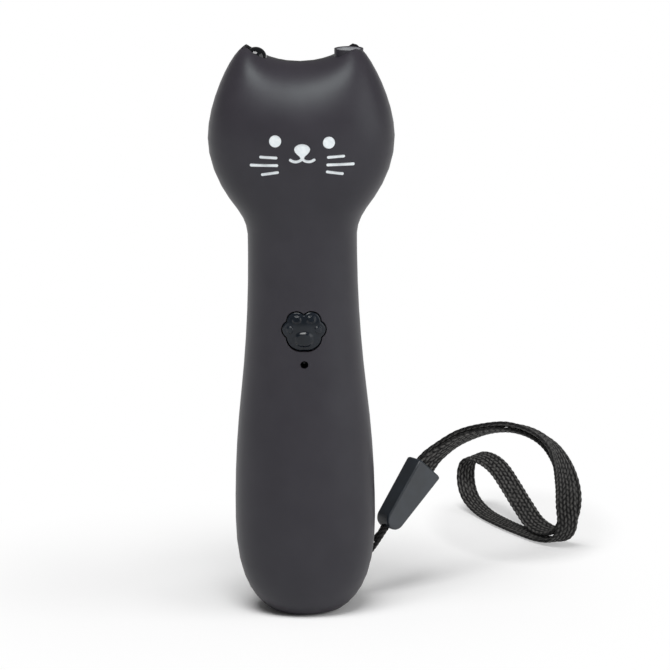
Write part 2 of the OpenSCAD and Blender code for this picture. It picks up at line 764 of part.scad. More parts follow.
module laser_diode() {
    seat = barrel_z + 2.5;
    color("#c9c3b4") {
        rod_z(laser_x, ear_y, bore_r, seat, seat + 1);
        rod_z(laser_x, ear_y, 1.45, seat + 0.5, seat + 3);
        for (s = [-1, 1])
            rod_z(laser_x + s * 0.8, ear_y, 0.25, laser_board_z + laser_board_l, seat + 0.5);
    }
}

module laser_board() {
    color("#1f6b3a")
        translate([laser_x, ear_y, laser_board_z + laser_board_l / 2])
            cube([laser_board_w, 1, laser_board_l], center = true);
}

// Where both ears' leads meet the top edge of the main board, at a distance to one side.
function board_top(x) = [x, board_y + board_t / 2, board_z + board_l];

module laser_leads() {
    color("#9c2a22")
        wire(lead([laser_x, ear_y, laser_board_z], -up_out, board_top(4.5), up_out), 0.9);
}

// Round lamp with a flange and two legs through its board.
module lamp_led() {
    color("#2a2c30") {
        rod_z(lamp_x, ear_y, lamp_d / 2 + 0.35, lamp_foot, lamp_foot + 1);
        rod_z(lamp_x, ear_y, lamp_d / 2, lamp_foot + 0.5, lamp_z - lamp_d / 2);
        translate([lamp_x, ear_y, lamp_z - lamp_d / 2]) sphere(d = lamp_d);
        for (s = [-1, 1])
            rod_z(lamp_x + s * leg_x, ear_y, leg_r, lamp_foot - lamp_board_t - 0.8, lamp_foot + 0.5);
    }
}

module lamp_board() {
    color("#1f6b3a")
        difference() {
            rod_z(lamp_x, ear_y, lamp_board_r, lamp_foot - lamp_board_t, lamp_foot);
            for (s = [-1, 1])
                rod_z(lamp_x + s * leg_x, ear_y, leg_r + pin_fit, lamp_foot - 3, lamp_foot + over);
        }
}

module lamp_leads() {
    color("#9c2a22")
        wire(lead([lamp_x, ear_y, lamp_foot - lamp_board_t], -up_out, board_top(-4.5), up_out), 0.9);
}

// Frame of the clip: x across its width, y through its thickness, z from its foot to its mouth.
clip_z = unit(clip_axis);
clip_x = square_to(clip_side, clip_z);
clip_y = cross(clip_z, clip_x);
function clip_at(h) = clip_foot + clip_z * h;

module on_clip() {
    multmatrix([for (k = [0:2]) [clip_x[k], clip_y[k], clip_z[k], clip_foot[k]]]) children();
}

// Rounded clip that narrows to a round foot, with a slot for the tape and a hole for the cord.
module strap_clip() {
    x = clip_w / 2 - clip_round;
    y = clip_t / 2 - clip_round;
    foot_r = x * clip_narrow;
    color("#4b4c50")
        on_clip()
            difference() {
                hull() {
                    for (s = [-1, 1], t = [-1, 1])
                        translate([s * x, t * y, clip_l - clip_round]) sphere(r = clip_round, $fn = 16);
                    for (t = [-1, 1], a = [0:30:180])
                        translate([-foot_r * cos(a), t * y * 0.9, clip_round + foot_r * (1 - sin(a))])
                            sphere(r = clip_round, $fn = 16);
                }
                box(-tape_w / 2 - slot_fit, tape_w / 2 + slot_fit, -tape_t - strand_fit - slot_fit,
                    tape_t + strand_fit + slot_fit, clip_l - slot_in, clip_l + over);
                rod_z(0, 0, cord_d + slot_fit, -over, cord_in);
            }
}

// Both strands over the arch, the outer one first, with the open loop between them.
mid_line = concat([clip_at(clip_l - slot_in), clip_at(clip_l + 1)], arch);
mid_side = concat([clip_x, clip_x], arch_side);
function inward(i) = cross(square_to(mid_side[i], ahead(mid_line, i)), ahead(mid_line, i));
last_mid = len(mid_line) - 1;
// The strands lie against each other up to the top of the arch, and part on the way down.
function strand_gap(i) = mix(tape_t / 2 + strand_fit, strand_open, shoulder((i - 5) / 2, 0.5));
tape_line = concat([for (i = [0:last_mid]) mid_line[i] - inward(i) * strand_gap(i)], loop,
    [for (i = [last_mid:-1:0]) mid_line[i] + inward(i) * strand_gap(i)]);
tape_side = concat(mid_side, loop_side, [for (i = [last_mid:-1:0]) mid_side[i]]);

module strap_tape() {
    w = tape_w / 2;
    t = tape_t / 2;
    c = tape_t / 3;
    shape = [[w, t - c], [w - c, t], [c - w, t], [-w, t - c],
        [-w, c - t], [c - w, -t], [w - c, -t], [w, c - t]];
    line = spline(tape_line, 2);
    sides = spline(tape_side, 2);
    color("#32302d")
        tube([for (i = [0:len(line) - 1])
            let (aim = i == 0 ? clip_z : i == len(line) - 1 ? -clip_z : ahead(line, i),
                u = square_to(sides[i], aim), v = cross(aim, u))
            [for (p = shape) line[i] + u * p[0] + v * p[1]]]);
}

// Loop of thin cord: out of the clip, through the strap bar and back into the clip.
module strap_cord() {
    apart = clip_y * (cord_d / 2 + 0.03);
    arc = [for (a = [180:-30:0]) lug_at + lug_back * (lug_ring * cos(a)) - lug_out * (lug_ring * sin(a))];
    front = lug_at - lug_back * lug_ring;
    rear = lug_at + lug_back * lug_ring;
    up = [0, 0, 1];
    color("#2b2b2d")
        wire(concat([clip_at(cord_in) - apart, clip_at(0) - apart, clip_at(-2.5) - apart],
            [mix(front, clip_at(-2), 0.4) + lug_out * 0.9, front + lug_out + up * 0.6], arc,
            [rear + lug_out + up * 0.6, mix(rear, clip_at(-2), 0.4) + lug_out * 0.9],
            [clip_at(-2.5) + apart, clip_at(0) + apart, clip_at(cord_in) + apart]), cord_d);
}

front_shell();
rear_shell();
face_enamel();
case_screws();
paw_button();
switch_body();
switch_plunger();
main_board();
control_chip();
board_parts();
indicator_led();
charge_board();
charge_socket();
socket_tongue();
charger_chip();
battery_cell();
battery_tabs();
battery_pad();
battery_leads();
charge_leads();
laser_cap();
laser_window();
laser_barrel();
laser_lens();
laser_nut();
laser_diode();
laser_board();
laser_leads();
lamp_led();
lamp_board();
lamp_leads();
strap_clip();
strap_tape();
strap_cord();
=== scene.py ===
"""Looks of the cat laser pointer: soft-touch case, gloss paw button, white face and braided wrist strap."""

import bmesh
import bpy
import numpy as np
from mathutils import Matrix, Vector


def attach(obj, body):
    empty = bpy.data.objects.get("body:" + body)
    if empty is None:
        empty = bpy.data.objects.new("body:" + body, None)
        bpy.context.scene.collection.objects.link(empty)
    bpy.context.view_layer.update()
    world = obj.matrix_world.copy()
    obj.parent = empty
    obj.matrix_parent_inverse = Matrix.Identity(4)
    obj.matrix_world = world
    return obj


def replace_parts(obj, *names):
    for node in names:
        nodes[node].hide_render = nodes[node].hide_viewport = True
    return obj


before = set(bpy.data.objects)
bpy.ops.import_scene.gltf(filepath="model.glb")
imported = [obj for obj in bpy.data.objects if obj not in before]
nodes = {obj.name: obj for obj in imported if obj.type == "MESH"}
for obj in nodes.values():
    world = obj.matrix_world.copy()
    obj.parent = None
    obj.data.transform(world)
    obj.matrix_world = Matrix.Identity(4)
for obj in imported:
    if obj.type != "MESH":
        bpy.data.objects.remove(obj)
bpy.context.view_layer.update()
MM = 0.001

# Camera, from the photograph: distance, height above the horizon, turn, aim point, lens and roll.
VIEW_FAR = 1250
VIEW_UP = np.radians(12.3)
VIEW_TURN = np.radians(-1.0)
VIEW_AT = np.array([7.1, 0, 62.987])
VIEW_LENS = 298.45
VIEW_ROLL = np.radians(-0.5564)

# Case, in millimetres: the same values as the solids.
CHIN_Z, HEAD_H, DIP, TIP_W = 86, 43.3, 4.3, 23.8
BELLY = (31.6, 27.2)
NECK = (24.5, 22.6)
HEAD = (41.8, 27)
BASE = (15, 16)
BELLY_Z, BASE_N = 23, 2.65
NECK_Z, CHEEK_Z, TIP_Z = CHIN_Z - 3, CHIN_Z + 22.5, CHIN_Z + HEAD_H
CHIN_JOINT, HANDLE_JOINT, HANDLE_N, HEAD_N, TOP_N, EAR_SQUARE = 0.31, 0.45, 2.1, 2.6, 2.4, 2
EAR_LEAN, EAR_CURVE, RIDGE_Y = 0.855, 0.64, 1.5
BASE_EDGE = 0.5

# Paw button: height, crown, dome, edge, and the lobes of its outline as x, z and radius.
PAW_Z, CROWN, DOME_R, PAW_EDGE = 66.35, 0.6, 12, 0.5
FLANGE_Y, FLANGE_T, FLANGE_W, STEM_R, STEM_END = -8.15, 0.7, 0.9, 1.5, -7.1
PAW_LOBES = np.array([[1.65, 2.3, 2.1], [2.95, 0.4, 1.9], [0.7, -1.25, 3.15]])
# Raised beans as x, z, half width, half height and rise.
PAW_BEANS = [(1.62, 2.75, 0.98, 0.78, 0.3), (-1.62, 2.75, 0.98, 0.78, 0.3), (3.15, 0.45, 0.72, 0.78, 0.3),
             (-3.15, 0.45, 0.72, 0.78, 0.3), (0, -1.75, 2.05, 1.7, 0.42)]
# How square a bean's outline is, and the shares of its half size over which its side falls and where it ends.
BEAN_SQUARE, BEAN_FALL, BEAN_OUT = 2.4, 0.42, 1.12
# Rings of the mesh from the paw's middle to its rolled edge.
FACE_RINGS = 44

# Strap bar, clip, tape and tie cord.
LUG_Z, LUG_TURN, LUG_RING = 9, np.radians(40), 2.6
CLIP_FOOT = np.array([18.3, 8.6, 16.2])
CLIP_AXIS, CLIP_SIDE = np.array([0.55, 0.38, 0.735]), np.array([0.6, 0.4, -0.69])
CLIP_L, CLIP_W, CLIP_T, CLIP_ROUND, CLIP_NARROW, CLIP_THIN = 16.8, 7.6, 5.1, 0.6, 0.6, 0.9
SLOT_IN, SLOT_FIT = 3, 0.12
TAPE_W, TAPE_T, STRAND_FIT = 5, 1.1, 0.06
CORD_D, CORD_IN, CORD_FIT, CORD_STRANDS, CORD_LAY = 1.2, 2.5, 0.03, 3, 3
# How far the arch's strands slide to either side, from which point of their line, and over how many.
STRAND_SLIDE, SLIDE_FROM, SLIDE_OVER = 0.7, 4, 1.5
ARCH = np.array([[31, 17.4, 31.6], [35.4, 20.5, 33.8], [40.5, 24, 34.7], [45.7, 28, 34.5], [51, 32, 32.8],
                 [55.6, 36, 29.6], [59.3, 40.5, 24.5], [61.7, 44.5, 18], [62.6, 47.5, 11.4]])
ARCH_SIDE = np.array([[0.09, 0.58, -0.81], [-0.2, 0.64, -0.74], [-0.47, 0.69, -0.55], [-0.61, 0.74, -0.28],
                      [-0.58, 0.8, 0.14], [-0.3, 0.8, 0.52], [0.39, 0.63, 0.67], [0.88, 0.29, 0.38],
                      [0.99, 0.01, 0.14]])
LOOP = np.array([[62.3, 49, 5.2], [60.5, 51.8, 1.6], [57, 55.8, 0.68], [52.6, 63.2, 0.62], [47.9, 72.5, 0.62],
                 [44.1, 81.8, 0.8], [41.3, 87.6, 2.9], [40.2, 90.6, 6.4], [40.5, 91, 10.4],
                 [42.2, 89.4, 12.8], [45, 84.6, 13.3], [47.7, 79.6, 12.1], [50.3, 73.8, 9.1],
                 [52.9, 67.6, 5.7], [55.7, 61.2, 2.8], [59.3, 54.8, 2.6], [62, 50.8, 5.2]])
LOOP_SIDE = np.array([[1, 0.15, 0], [0.97, 0.25, 0], [0.92, 0.4, 0], [0.88, 0.47, 0], [0.88, 0.47, 0],
                      [0.88, 0.47, 0], [0.88, 0.47, 0], [0.88, 0.47, 0.05], [0.88, 0.45, 0.15],
                      [0.86, 0.4, 0.25], [0.83, 0.33, 0.36], [0.81, 0.26, 0.45], [0.8, 0.22, 0.5],
                      [0.81, 0.22, 0.48], [0.85, 0.24, 0.4], [0.92, 0.26, 0.2], [0.98, 0.2, 0.05]])
# Plait of the tape: columns across, length of a stitch, slant and depth of the grooves, how far the edge
# draws in between stitches, and the steps of the mesh along a stitch and across a column.
PLAIT_COLS, STITCH, PLAIT_SLANT, PLAIT_DEEP, PLAIT_NIP = 6, 1.7, 0.26, 0.18, 0.07
STITCH_STEPS, COLUMN_STEPS = 7, 6
# Floor, in metres: half its size, its gap below the foot, the middles of the places round the foot and under
# the loop where the floor's painted glow is weaker so that their shadows show, and how much narrower the
# loop's place is.
FLOOR_HALF, FLOOR_GAP = 20, 2e-4
FOOT_SHADE, LOOP_SHADE, SHADE_NARROW = (-0.01, 0.005, 0), (0.052, 0.07, 0), 1.7


def linear(code):
    """Turns an sRGB hex colour into linear RGBA: the curve above 0.04, the straight foot below it."""
    c = np.array([int(code[i:i + 2], 16) / 255 for i in (1, 3, 5)])
    c = np.where(c <= 0.04045, c / 12.92, ((c + 0.055) / 1.055) ** 2.4)
    return (*c.tolist(), 1.0)


def unit(v):
    """Each vector divided by its length."""
    return v / np.linalg.norm(v, axis=-1, keepdims=True)


def square_to(side, aim):
    """The part of each side direction that is square to the aim, at length one."""
    return unit(side - aim * np.sum(side * aim, -1, keepdims=True))


# Camera
back = np.array([np.sin(VIEW_TURN) * np.cos(VIEW_UP), -np.cos(VIEW_TURN) * np.cos(VIEW_UP), np.sin(VIEW_UP)])
level = unit(np.cross(-back, [0, 0, 1]))
upright = np.cross(level, -back)
across = np.cos(VIEW_ROLL) * level + np.sin(VIEW_ROLL) * upright
upwards = np.cos(VIEW_ROLL) * upright - np.sin(VIEW_ROLL) * level
eye = bpy.data.cameras.new("photo_view")
eye.lens, eye.sensor_width, eye.clip_end = VIEW_LENS, 36, 50
camera = bpy.data.objects.new("photo_view", eye)
place = np.eye(4)
place[:3] = np.column_stack([across, upwards, back, (VIEW_AT + VIEW_FAR * back) * MM])
camera.matrix_world = Matrix(place.tolist())
bpy.context.scene.collection.objects.link(camera)
bpy.context.scene.camera = camera


# Meshes
def surface(name, grid, body, flip=False, point_values=None):
    """A closed piece from a grid of rings in millimetres: quads join each ring to the next, and a flat
    face closes the first and the last ring. Values given by name become attributes of its points."""
    rows, cols = grid.shape[:2]
    index = np.arange(rows * cols).reshape(rows, cols)
    after = np.roll(index, -1, 1)
    quads = np.stack([index[:-1], after[:-1], after[1:], index[1:]], -1).reshape(-1, 4)
    faces = quads.tolist() + [index[0, ::-1].tolist(), index[-1].tolist()]
    if flip:
        faces = [f[::-1] for f in faces]
    mesh = bpy.data.meshes.new(name)
    mesh.from_pydata((grid.reshape(-1, 3) * MM).tolist(), [], faces)
    for key, value in (point_values or {}).items():
        points = mesh.attributes.new(key, "FLOAT", "POINT").data
        points.foreach_set("value", value.reshape(-1).astype(np.float32))
    mesh.shade_smooth()
    mesh.set_sharp_from_angle(angle=np.radians(40))
    piece = bpy.data.objects.new(name, mesh)
    bpy.context.scene.collection.objects.link(piece)
    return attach(piece, body)


def spline(p, parts):
    """A smooth line through the points p: cubic between each two, with the slope at a point half of the
    step across it, and the single step at both ends."""
    slope = np.empty_like(p)
    slope[1:-1] = (p[2:] - p[:-2]) / 2
    slope[0], slope[-1] = p[1] - p[0], p[-1] - p[-2]
    t = (np.arange(parts) / parts)[None, :, None]
    a, b, da, db = p[:-1, None], p[1:, None], slope[:-1, None], slope[1:, None]
    line = (a * (1 + t * t * (2 * t - 3)) + b * (t * t * (3 - 2 * t))
            + da * (t * (1 - t) ** 2) + db * (t * t * (t - 1)))
    return np.vstack([line.reshape(-1, p.shape[1]), p[-1:]])


def even_steps(line, step):
    """The same line with points at equal distances along it, and those distances."""
    along = np.concatenate([[0], np.cumsum(np.linalg.norm(np.diff(line[:, :3], axis=0), axis=1))])
    at = np.linspace(0, along[-1], int(round(along[-1] / step)) + 1)
    return np.column_stack([np.interp(at, along, line[:, k]) for k in range(line.shape[1])]), at


def aims(line):
    """Direction of the line at each point: the step across the point, at length one."""
    return unit(np.gradient(line, axis=0))


# Strap, clip frame: x across its width, y through its thickness, z from its foot to its mouth.
clip_z = unit(CLIP_AXIS)
clip_x = square_to(CLIP_SIDE, clip_z)
clip_y = np.cross(clip_z, clip_x)


def on_clip(h):
    """The point on the clip's axis at a height above its foot."""
    return CLIP_FOOT + clip_z * h


def braided_tape():
    """Tape on the route: out of the clip on the outer strand, round the loop and back on the inner one, which
    lies on it and slides a little sideways past the top of the arch.
    Across, the section is a lens with square shoulders, y = t (1 - a^6)^(1/2). Its faces carry columns of
    slanted stitches, half a stitch apart from column to column: a round rise across the column times a power
    of the size of a cosine along the tape. A narrower such rise, the crown, carries a painted glint on each
    stitch's crown and painted shade between the stitches."""
    mid = np.vstack([on_clip(CLIP_L - SLOT_IN), on_clip(CLIP_L + 1), ARCH])
    side = np.vstack([clip_x, clip_x, ARCH_SIDE])
    step = np.vstack([mid[1] - mid[0], mid[2:] - mid[:-2], mid[-1] - mid[-2]])
    sideways = square_to(side, unit(step))
    slide = STRAND_SLIDE * shoulder((np.arange(len(mid)) - SLIDE_FROM) / SLIDE_OVER, 0.5)
    inward = np.cross(sideways, unit(step)) * (TAPE_T / 2 + STRAND_FIT) + sideways * slide[:, None]
    points = np.vstack([mid - inward, LOOP, (mid + inward)[::-1]])
    sides = np.vstack([side, LOOP_SIDE, side[::-1]])
    line, along = even_steps(spline(np.hstack([points, sides]), 24), STITCH / STITCH_STEPS)
    centre, width = line[:, :3], line[:, 3:]
    aim = aims(centre)
    aim[0], aim[-1] = clip_z, -clip_z
    right = square_to(width, aim)
    out = np.cross(aim, right)
    half = np.linspace(-1, 1, PLAIT_COLS * COLUMN_STEPS + 1)
    a = np.concatenate([half[:0:-1], half[:-1]])
    face = np.repeat([1.0, -1.0], PLAIT_COLS * COLUMN_STEPS)
    column = np.clip(np.floor((a + 1) / 2 * PLAIT_COLS), 0, PLAIT_COLS - 1)
    b = (a + 1) * PLAIT_COLS - 2 * column - 1
    slant = np.where(column % 2 == 0, 1, -1)
    wave = along[:, None] / STITCH + 0.5 * (column % 2) + PLAIT_SLANT * slant * b + 0.25 * (face < 0)
    swell = np.abs(np.cos(np.pi * wave))
    rise = np.sqrt(1 - 0.9 * b * b) * swell ** 0.6
    painted_crown_glint = (1 - 0.9 * b * b) ** 2 * swell ** 0.8
    x = TAPE_W / 2 * a * (1 - PLAIT_NIP * np.abs(a) ** 8 * (1 - swell))
    y = face * (TAPE_T / 2 * np.sqrt(1 - np.abs(a) ** 6) - PLAIT_DEEP * (1 - rise) * (1 - a ** 6))
    grid = centre[:, None] + right[:, None] * x[..., None] + out[:, None] * y[..., None]
    grid[..., 2] = np.maximum(grid[..., 2], 0.02)
    # The rise attribute carries the crown: a painted glint on the stitches' crowns and painted shade between
    # them.
    values = {"rise": painted_crown_glint, "thread": wave + 0 * x, "lane": 0 * x + TAPE_W * (a / 2 + face)}
    return surface("braided_tape", grid, "case", point_values=values), centre, along[-1]


def tie_cord():
    """Three-strand cord from the clip round the strap bar and back: a circle whose radius dips between
    strands, and the strands turn once round it in each lay length."""
    half_w, half_d = (half_size(np.array([float(LUG_Z)]), k)[0] for k in (0, 1))
    c, s = np.cos(LUG_TURN) ** (2 / HANDLE_N), np.sin(LUG_TURN) ** (2 / HANDLE_N)
    lug = np.array([half_w * c, half_d * s, LUG_Z])
    turn = np.arctan2(s ** (HANDLE_N - 1) / half_d, c ** (HANDLE_N - 1) / half_w)
    outward = np.array([np.cos(turn), np.sin(turn), 0])
    behind = np.array([-np.sin(turn), np.cos(turn), 0])
    apart = clip_y * (CORD_D / 2 + CORD_FIT)
    up = np.array([0, 0, 1])
    a = np.radians(np.arange(180, -1, -30))[:, None]
    arc = lug + LUG_RING * (behind * np.cos(a) - outward * np.sin(a))
    # Each leg leaves the clip straight, one cord beside the other, and leans over to its end of the ring.
    ends = [(arc[0], -apart), (arc[-1], apart)]
    legs = [np.vstack([on_clip(CORD_IN) + s, on_clip(0) + s, on_clip(-2.5) + s,
                       p + (on_clip(-2) - p) * 0.4 + outward * 0.9, p + outward + up * 0.6]) for p, s in ends]
    line, along = even_steps(spline(np.vstack([legs[0], arc, legs[1][::-1]]), 12), 0.15)
    aim = aims(line)
    u = square_to(np.where(np.abs(aim[:, :1]) < 0.8, [[1.0, 0, 0]], [[0, 1.0, 0]]), aim)
    v = np.cross(aim, u)
    q = np.linspace(0, 2 * np.pi, 25)[:-1]
    twist = q[None] - 2 * np.pi * along[:, None] / CORD_LAY
    rise = np.abs(np.cos(CORD_STRANDS / 2 * twist))
    r = CORD_D / 2 * (0.8 + 0.2 * rise ** 0.7)
    grid = line[:, None] + u[:, None] * (r * np.cos(q))[..., None] + v[:, None] * (r * np.sin(q))[..., None]
    # The rise attribute also carries a painted glint on the strands' crowns and painted shade between them.
    values = {"rise": rise, "thread": CORD_STRANDS / (2 * np.pi) * twist, "lane": CORD_D / 2 * twist}
    return surface("tie_cord", grid, "case", point_values=values), line, along[-1], lug


def clip_body():
    """Rounded clip: each ring is a rectangle with round corners. Its half width follows a circle round the
    foot and then a straight taper to the mouth; the last rings fold in to the slot for the tape."""
    x_top, y_top = CLIP_W / 2, CLIP_T / 2
    r_foot = (x_top - CLIP_ROUND) * CLIP_NARROW + CLIP_ROUND
    y_foot = (y_top - CLIP_ROUND) * CLIP_THIN + CLIP_ROUND
    f = np.radians(np.linspace(4, 90, 15))
    t = np.linspace(0, 1, 8)[1:]
    e = np.radians(np.linspace(0, 90, 6)[1:])
    straight = CLIP_L - CLIP_ROUND - r_foot
    h = np.concatenate([r_foot * (1 - np.cos(f)), r_foot + straight * t,
                        CLIP_L - CLIP_ROUND * (1 - np.sin(e))])
    w = np.concatenate([r_foot * np.sin(f), r_foot + (x_top - r_foot) * t,
                        x_top - CLIP_ROUND * (1 - np.cos(e))])
    d = y_foot + (y_top - y_foot) * np.clip((h - r_foot) / straight, 0, 1)
    for past in (CLIP_ROUND - h, h - CLIP_L + CLIP_ROUND):
        d -= CLIP_ROUND - np.sqrt(np.maximum(0, CLIP_ROUND ** 2 - np.clip(past, 0, CLIP_ROUND) ** 2))
    slot_w, slot_d = TAPE_W / 2 + SLOT_FIT, TAPE_T + STRAND_FIT + SLOT_FIT
    h = np.concatenate([h, [CLIP_L, CLIP_L, CLIP_L - 0.1, CLIP_L - SLOT_IN]])
    w = np.concatenate([w, [slot_w + 0.15, slot_w + 0.06, slot_w, slot_w]])
    d = np.concatenate([d, [slot_d + 0.15, slot_d + 0.06, slot_d, slot_d]])
    r = np.concatenate([np.full(len(h) - 4, CLIP_ROUND), [0.2, 0.15, 0.1, 0.1]])
    r = np.minimum(r, np.minimum(w, d) * 0.95)
    q = np.radians(np.linspace(0, 90, 8))
    q = np.concatenate([q, q + np.pi / 2, q + np.pi, q + 1.5 * np.pi])
    sx = np.repeat([1, -1, -1, 1], 8)
    sy = np.repeat([1, 1, -1, -1], 8)
    x = sx * (w - r)[:, None] + r[:, None] * np.cos(q)
    y = sy * (d - r)[:, None] + r[:, None] * np.sin(q)
    grid = on_clip(h[:, None, None]) + clip_x * x[..., None] + clip_y * y[..., None]
    piece = surface("clip_body", grid, "case")
    piece.modifiers.new("even_shading", "WEIGHTED_NORMAL").keep_sharp = True
    return piece


# Case formulas, in millimetres
def shoulder(t, j):
    """Two parabolas that meet at j, level at 0 and 1."""
    t = np.clip(t, 0, 1)
    return np.where(t < j, t * t / j, 1 - (1 - t) ** 2 / (1 - j))


def half_size(z, k):
    """Half width (k = 0) or half depth (k = 1) up to the cheeks: a rounded foot below the belly, an S from
    the belly to the neck, and a shorter S from the neck to the head."""
    reach = BELLY_Z / (1 - (BASE[k] / BELLY[k]) ** BASE_N) ** (1 / BASE_N)
    foot = BELLY[k] * np.maximum(0, 1 - np.clip((BELLY_Z - z) / reach, 0, 1) ** BASE_N) ** (1 / BASE_N)
    handle = BELLY[k] + (NECK[k] - BELLY[k]) * shoulder((z - BELLY_Z) / (NECK_Z - BELLY_Z), HANDLE_JOINT)
    head = NECK[k] + (HEAD[k] - NECK[k]) * shoulder((z - CHIN_Z) / (CHEEK_Z - CHIN_Z), CHIN_JOINT)
    return np.where(z < BELLY_Z, foot, np.where(z < NECK_Z, handle, head)) / 2


def skin(p):
    """Zero on the outside of the case, more outside it. Up to the cheeks it is the rounded oval
    |x / w|^n + |y / d|^n = 1. Above them the roof rises from its middle to the ears by a share of u^2 and
    u^4, and the depth closes to the crest as (1 - t^m)^(1/m), squarer at the ears."""
    x, y, z = p[..., 0], p[..., 1], p[..., 2]
    n = HANDLE_N + (HEAD_N - HANDLE_N) * shoulder((z - CHIN_Z) / (CHEEK_Z - CHIN_Z), 0.5)
    low = np.abs(x / half_size(z, 0)) ** n + np.abs(y / half_size(z, 1)) ** n - 1
    t, u = np.clip((z - CHEEK_Z) / (TIP_Z - CHEEK_Z), 0, 1), 0 * x
    for _ in range(8):
        s = np.clip(t, 0, 1)
        u = x * 2 / (HEAD[0] - (HEAD[0] - TIP_W) * (EAR_LEAN * s ** 1.8 + (1 - EAR_LEAN) * s ** 12))
        rise = DIP * (EAR_CURVE * u ** 2 + (1 - EAR_CURVE) * u ** 4)
        t = np.maximum(z - CHEEK_Z, 0) / (TIP_Z - DIP - CHEEK_Z + rise)
    m = TOP_N + EAR_SQUARE * u * u
    left = 1 - t ** m
    close = np.sign(left) * np.abs(left) ** (HEAD_N / m)
    depth = np.abs((y - RIDGE_Y * shoulder(t, 0.5)) * 2 / HEAD[1]) ** HEAD_N
    return np.where(z <= CHEEK_Z, low, depth + (np.abs(u) ** HEAD_N - 1) * close)


def skin_out(p, eps=0.01):
    """Outward direction and distance to the skin: the slope of its formula along x, y and z."""
    slope = np.stack([skin(p + eps * e) - skin(p - eps * e) for e in np.eye(3)], -1) / (2 * eps)
    size = np.linalg.norm(slope, axis=-1, keepdims=True)
    return slope / np.maximum(size, 1e-9), skin(p) / np.maximum(size[..., 0], 1e-9)


def smooth_case(name, node):
    """A half of the case: a merged copy of its solid, whose outer faces are shaded with the true outward
    direction of the skin's formula, so that its facets don't show; other faces keep their own edges."""
    mesh = nodes[node].data.copy()
    mesh.name = name
    mesh.materials.clear()
    work = bmesh.new()
    work.from_mesh(mesh)
    bmesh.ops.remove_doubles(work, verts=work.verts, dist=1e-7)
    work.to_mesh(mesh)
    work.free()
    for key in ("custom_normal", "sharp_edge", "sharp_face"):
        if key in mesh.attributes:
            mesh.attributes.remove(mesh.attributes[key])
    mesh.shade_smooth()
    mesh.set_sharp_from_angle(angle=np.radians(35))
    loops, faces = len(mesh.loops), len(mesh.polygons)
    points = np.empty(len(mesh.vertices) * 3)
    mesh.vertices.foreach_get("co", points)
    corner_point = np.empty(loops, int)
    mesh.loops.foreach_get("vertex_index", corner_point)
    sizes, middle, plain = np.empty(faces, int), np.empty(faces * 3), np.empty(faces * 3)
    mesh.polygons.foreach_get("loop_total", sizes)
    mesh.polygons.foreach_get("center", middle)
    mesh.polygons.foreach_get("normal", plain)
    corners = np.empty(loops * 3, np.float32)
    mesh.corner_normals.foreach_get("vector", corners)
    points, middle = points.reshape(-1, 3) / MM, middle.reshape(-1, 3) / MM
    # Outer faces lie within a quarter of a millimetre of the skin and face the same way.
    out, gap = skin_out(middle)
    outer = (np.sum(out * plain.reshape(-1, 3), -1) > 0.9) & (np.abs(gap) < 0.25) & (middle[:, 2] > BASE_EDGE)
    of_corner = np.repeat(outer, sizes)
    true_out = skin_out(points)[0][corner_point]
    corners = np.where(of_corner[:, None], true_out, corners.reshape(-1, 3))
    mesh.normals_split_custom_set(corners.tolist())
    piece = bpy.data.objects.new(name, mesh)
    bpy.context.scene.collection.objects.link(piece)
    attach(piece, "case")
    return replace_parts(piece, node)


def paw_face():
    """Paw on a polar grid: the outline is the furthest lobe circle along each ray, softened a little. The
    face is a sphere's cap with beans raised on it, a quarter circle rolls over the edge, and the rings then
    go back to the hidden flange and stem."""
    q = np.linspace(0, 2 * np.pi, 241)[:-1]
    ray = np.column_stack([np.cos(q), np.sin(q)])
    lobes = np.vstack([PAW_LOBES, PAW_LOBES * [-1, 1, 1]])
    near = ray @ lobes[:, :2].T
    reach = near ** 2 - np.sum(lobes[:, :2] ** 2, 1) + lobes[:, 2] ** 2
    edge = np.max(np.where(reach > 0, near + np.sqrt(np.maximum(reach, 0)), 0), 1)
    edge = sum(np.roll(edge, k) for k in (-2, -1, 0, 1, 2)) / 5
    share = np.linspace(0.01, 1, FACE_RINGS)[:, None]
    roll = np.radians(np.linspace(0, 90, 9)[1:])[:, None]
    radius = np.vstack([share * (edge - PAW_EDGE), edge - PAW_EDGE + PAW_EDGE * np.sin(roll)])
    x, z = radius * np.cos(q), radius * np.sin(q)
    front = half_size(np.array([PAW_Z]), 1)[0]
    y = DOME_R - front - CROWN - np.sqrt(DOME_R ** 2 - radius ** 2)
    y[FACE_RINGS:] = y[FACE_RINGS - 1] + PAW_EDGE * (1 - np.cos(roll))
    for bx, bz, bw, bh, rise in PAW_BEANS:
        off = np.abs((x - bx) / bw) ** BEAN_SQUARE + np.abs((z - bz) / bh) ** BEAN_SQUARE
        s = np.clip((BEAN_OUT - off ** (1 / BEAN_SQUARE)) / BEAN_FALL, 0, 1)
        y -= rise * s * s * (3 - 2 * s)
    ones = np.ones_like(edge)
    flange_end = FLANGE_Y + FLANGE_T
    back_y = np.array([FLANGE_Y, FLANGE_Y, flange_end, flange_end, STEM_END])[:, None] * ones
    back_r = np.vstack([edge, edge + FLANGE_W, edge + FLANGE_W, STEM_R * ones, STEM_R * ones])
    x = np.vstack([x, back_r * np.cos(q)])
    z = np.vstack([z, back_r * np.sin(q)])
    grid = np.stack([x, np.vstack([y, back_y]), z + PAW_Z], -1)
    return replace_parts(surface("paw_face", grid, "button", flip=True), "paw_button")


tape, tape_path, tape_long = braided_tape()
cord, cord_path, cord_long, lug_at = tie_cord()
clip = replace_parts(clip_body(), "strap_clip")
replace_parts(tape, "strap_tape")
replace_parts(cord, "strap_cord")
front_case = smooth_case("front_case", "front_shell")
rear_case = smooth_case("rear_case", "rear_shell")
paw = paw_face()


